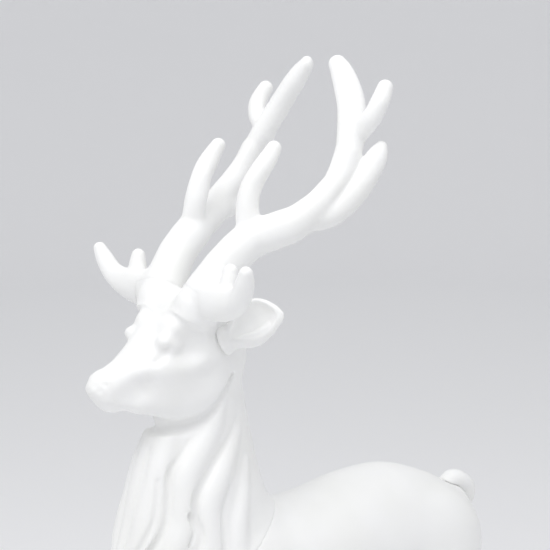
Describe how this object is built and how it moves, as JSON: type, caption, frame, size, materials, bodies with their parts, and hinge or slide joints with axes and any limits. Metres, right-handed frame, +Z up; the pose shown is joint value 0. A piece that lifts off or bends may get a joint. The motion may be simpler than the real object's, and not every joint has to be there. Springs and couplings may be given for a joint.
{
  "type": "light up yard reindeer",
  "caption": "Standing white moulded stag with branching plug-in antlers, thick mane, short tail and a twist-in belly lamp for yard display.",
  "frame": {"origin": "centre of the bounding box at ground level", "axes": "+Z up, -Y the way the reindeer faces, +X its left"},
  "size_m": [0.3962, 0.7032, 1.2256],
  "materials": {
    "white_shell": "satin, translucent white polyethylene with a fine mould texture",
    "grey_plastic": "moulded nylon, fine grain",
    "dark_plastic": "moulded polypropylene, fine grain",
    "rubber_plug": "soft matte",
    "gasket_rubber": "soft matte",
    "lead_rubber": "soft matte",
    "screw_steel": "zinc plated",
    "cap_brass": "plain",
    "bulb_glass": "frosted",
    "button_red": "moulded, glossy",
    "lamp_lens": "diffusing lens"
  },
  "bodies": {
    "figure": {"torso": "white_shell", "neck_and_head": "white_shell", "ear_left": "white_shell", "ear_right": "white_shell", "tail": "white_shell", "antler_socket_left": "dark_plastic", "antler_socket_right": "dark_plastic", "leg_front_left": "white_shell", "leg_front_right": "white_shell", "leg_rear_left": "white_shell", "leg_rear_right": "white_shell", "hoof_plug_front_left": "rubber_plug", "hoof_plug_front_right": "rubber_plug", "hoof_plug_rear_left": "rubber_plug", "hoof_plug_rear_right": "rubber_plug", "neck_joint_ring": "grey_plastic", "neck_screws": "screw_steel", "leg_screws": "screw_steel", "belly_flange": "grey_plastic", "flange_screws": "screw_steel", "junction_box": "grey_plastic", "head_lead": "lead_rubber", "head_lamp": "lamp_lens"},
    "lamp_unit": {"lamp_carrier": "dark_plastic", "carrier_gasket": "gasket_rubber", "lamp_holder": "dark_plastic", "bulb_cap": "cap_brass", "led_bulb": "bulb_glass", "timer_box": "dark_plastic", "cord_gland": "dark_plastic"},
    "button": {"timer_button": "button_red"},
    "left_antler": {"antler_left": "white_shell", "antler_spigot_left": "grey_plastic"},
    "right_antler": {"antler_right": "white_shell", "antler_spigot_right": "grey_plastic"}
  },
  "joints": [
    {"name": "carrier_twist", "type": "hinge", "parent": "figure", "child": "lamp_unit", "pos_m": [0, 0.028, 0.366], "axis": [0, 0, 1], "range_deg": [0, 40]},
    {"name": "timer_button_press", "type": "slide", "parent": "lamp_unit", "child": "button", "axis": [0, 0, 1], "range_m": [0, 0.002], "stiffness_N_per_m": 300, "springref_m": -0.001},
    {"name": "antler_left_pull", "type": "slide", "parent": "figure", "child": "left_antler", "axis": [0.24, 0.5, 0.8321], "range_m": [0, 0.08]},
    {"name": "antler_right_pull", "type": "slide", "parent": "figure", "child": "right_antler", "axis": [-0.24, 0.5, 0.8321], "range_m": [0, 0.08]}
  ]
}
